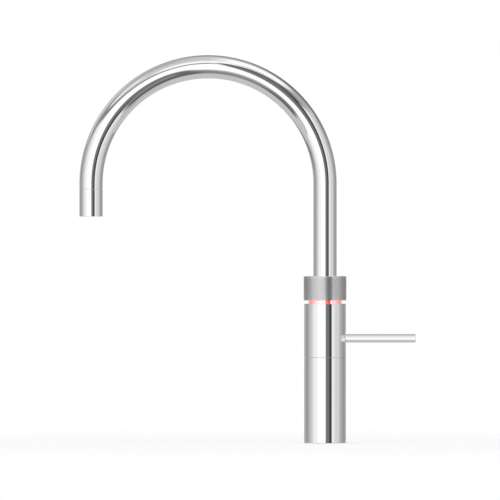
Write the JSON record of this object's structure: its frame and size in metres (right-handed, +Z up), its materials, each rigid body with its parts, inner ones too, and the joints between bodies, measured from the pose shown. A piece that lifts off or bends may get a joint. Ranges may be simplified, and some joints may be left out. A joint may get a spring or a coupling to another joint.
{
  "type": "boiling water tap",
  "caption": "Slim round kitchen tap with a swan-neck swivel spout, a knurled push-and-turn ring for boiling water over a lit gap, and a rod lever for mixed water.",
  "frame": {"origin": "centre of the base's underside, on the body's axis, at worktop level, at the mouth of the fixing stud's hole", "axes": "+Z up along the body's axis; the spout points to -X and the lever to +X, with +Y behind the tap as pictured"},
  "size_m": [0.3183, 0.0404, 0.3673],
  "materials": {
    "chrome": "polished",
    "brass": "machined",
    "steel": "satin",
    "rubber": "matt",
    "plastic": "moulded",
    "disc_ceramic": "lapped",
    "board": "coated",
    "lit_plastic": "glossy"
  },
  "bodies": {
    "body": {"base_sleeve": "chrome", "base_seal": "rubber", "valve_body": "brass", "light_socket": "rubber", "light_lead": "rubber", "check_valves": "plastic", "inlet_seals": "rubber", "mixer_cartridge": "plastic", "column": "brass", "boiling_riser": "steel", "mixed_riser": "steel", "lower_glide_ring": "plastic", "upper_glide_ring": "plastic", "top_block": "brass", "fixed_disc": "disc_ceramic", "light_board": "board", "light_diodes": "plastic", "light_ring": "lit_plastic", "post": "brass", "post_seals": "rubber", "tube_seal": "rubber", "thrust_washer": "plastic", "swivel_bushes": "plastic", "spout_snap_ring": "steel"},
    "lever_section": {"lever_sleeve": "chrome", "lever_yoke": "brass", "yoke_screws": "steel"},
    "lever": {"lever_hub": "steel", "lever_rod": "chrome"},
    "mixer_spool": {"mixer_spool": "brass", "spool_seals": "rubber"},
    "ring_drive": {"ring_carrier": "steel", "moving_disc": "disc_ceramic", "ring_spring": "steel"},
    "ring": {"knurled_ring": "chrome", "drive_pins": "steel"},
    "spout": {"spout_tube": "chrome", "boiling_tube": "steel", "tube_spacers": "plastic", "outlet_sleeve": "chrome", "boiling_nozzle": "steel", "aerator": "plastic", "aerator_screen": "steel"}
  },
  "joints": [
    {"name": "spout_swivel", "type": "hinge", "parent": "body", "child": "spout", "pos_m": [0, 0, 0.15], "axis": [0, 0, 1], "continuous": true},
    {"name": "lever_turn", "type": "hinge", "parent": "body", "child": "lever_section", "pos_m": [0, 0, 0.0991], "axis": [0, 0, 1], "range_deg": [-45, 45]},
    {"name": "lever_lift", "type": "hinge", "parent": "lever_section", "child": "lever", "pos_m": [0.0136, 0, 0.0991], "axis": [0, -1, 0], "range_deg": [0, 15]},
    {"name": "spool_slide", "type": "slide", "parent": "lever_section", "child": "mixer_spool", "axis": [0, 0, -1], "range_m": [0, 0.0027]},
    {"name": "ring_turn", "type": "hinge", "parent": "body", "child": "ring_drive", "pos_m": [0, 0, 0.14], "axis": [0, 0, 1], "range_deg": [0, 60]},
    {"name": "ring_push", "type": "slide", "parent": "ring_drive", "child": "ring", "axis": [0, 0, -1], "range_m": [0, 0.0025], "stiffness_N_per_m": 2500, "springref_m": -0.003, "deforming": ["ring_spring"]}
  ],
  "couplings": [
    {"joint": "spool_slide", "follows": "lever_lift", "m_per_rad": 0.00998}
  ]
}
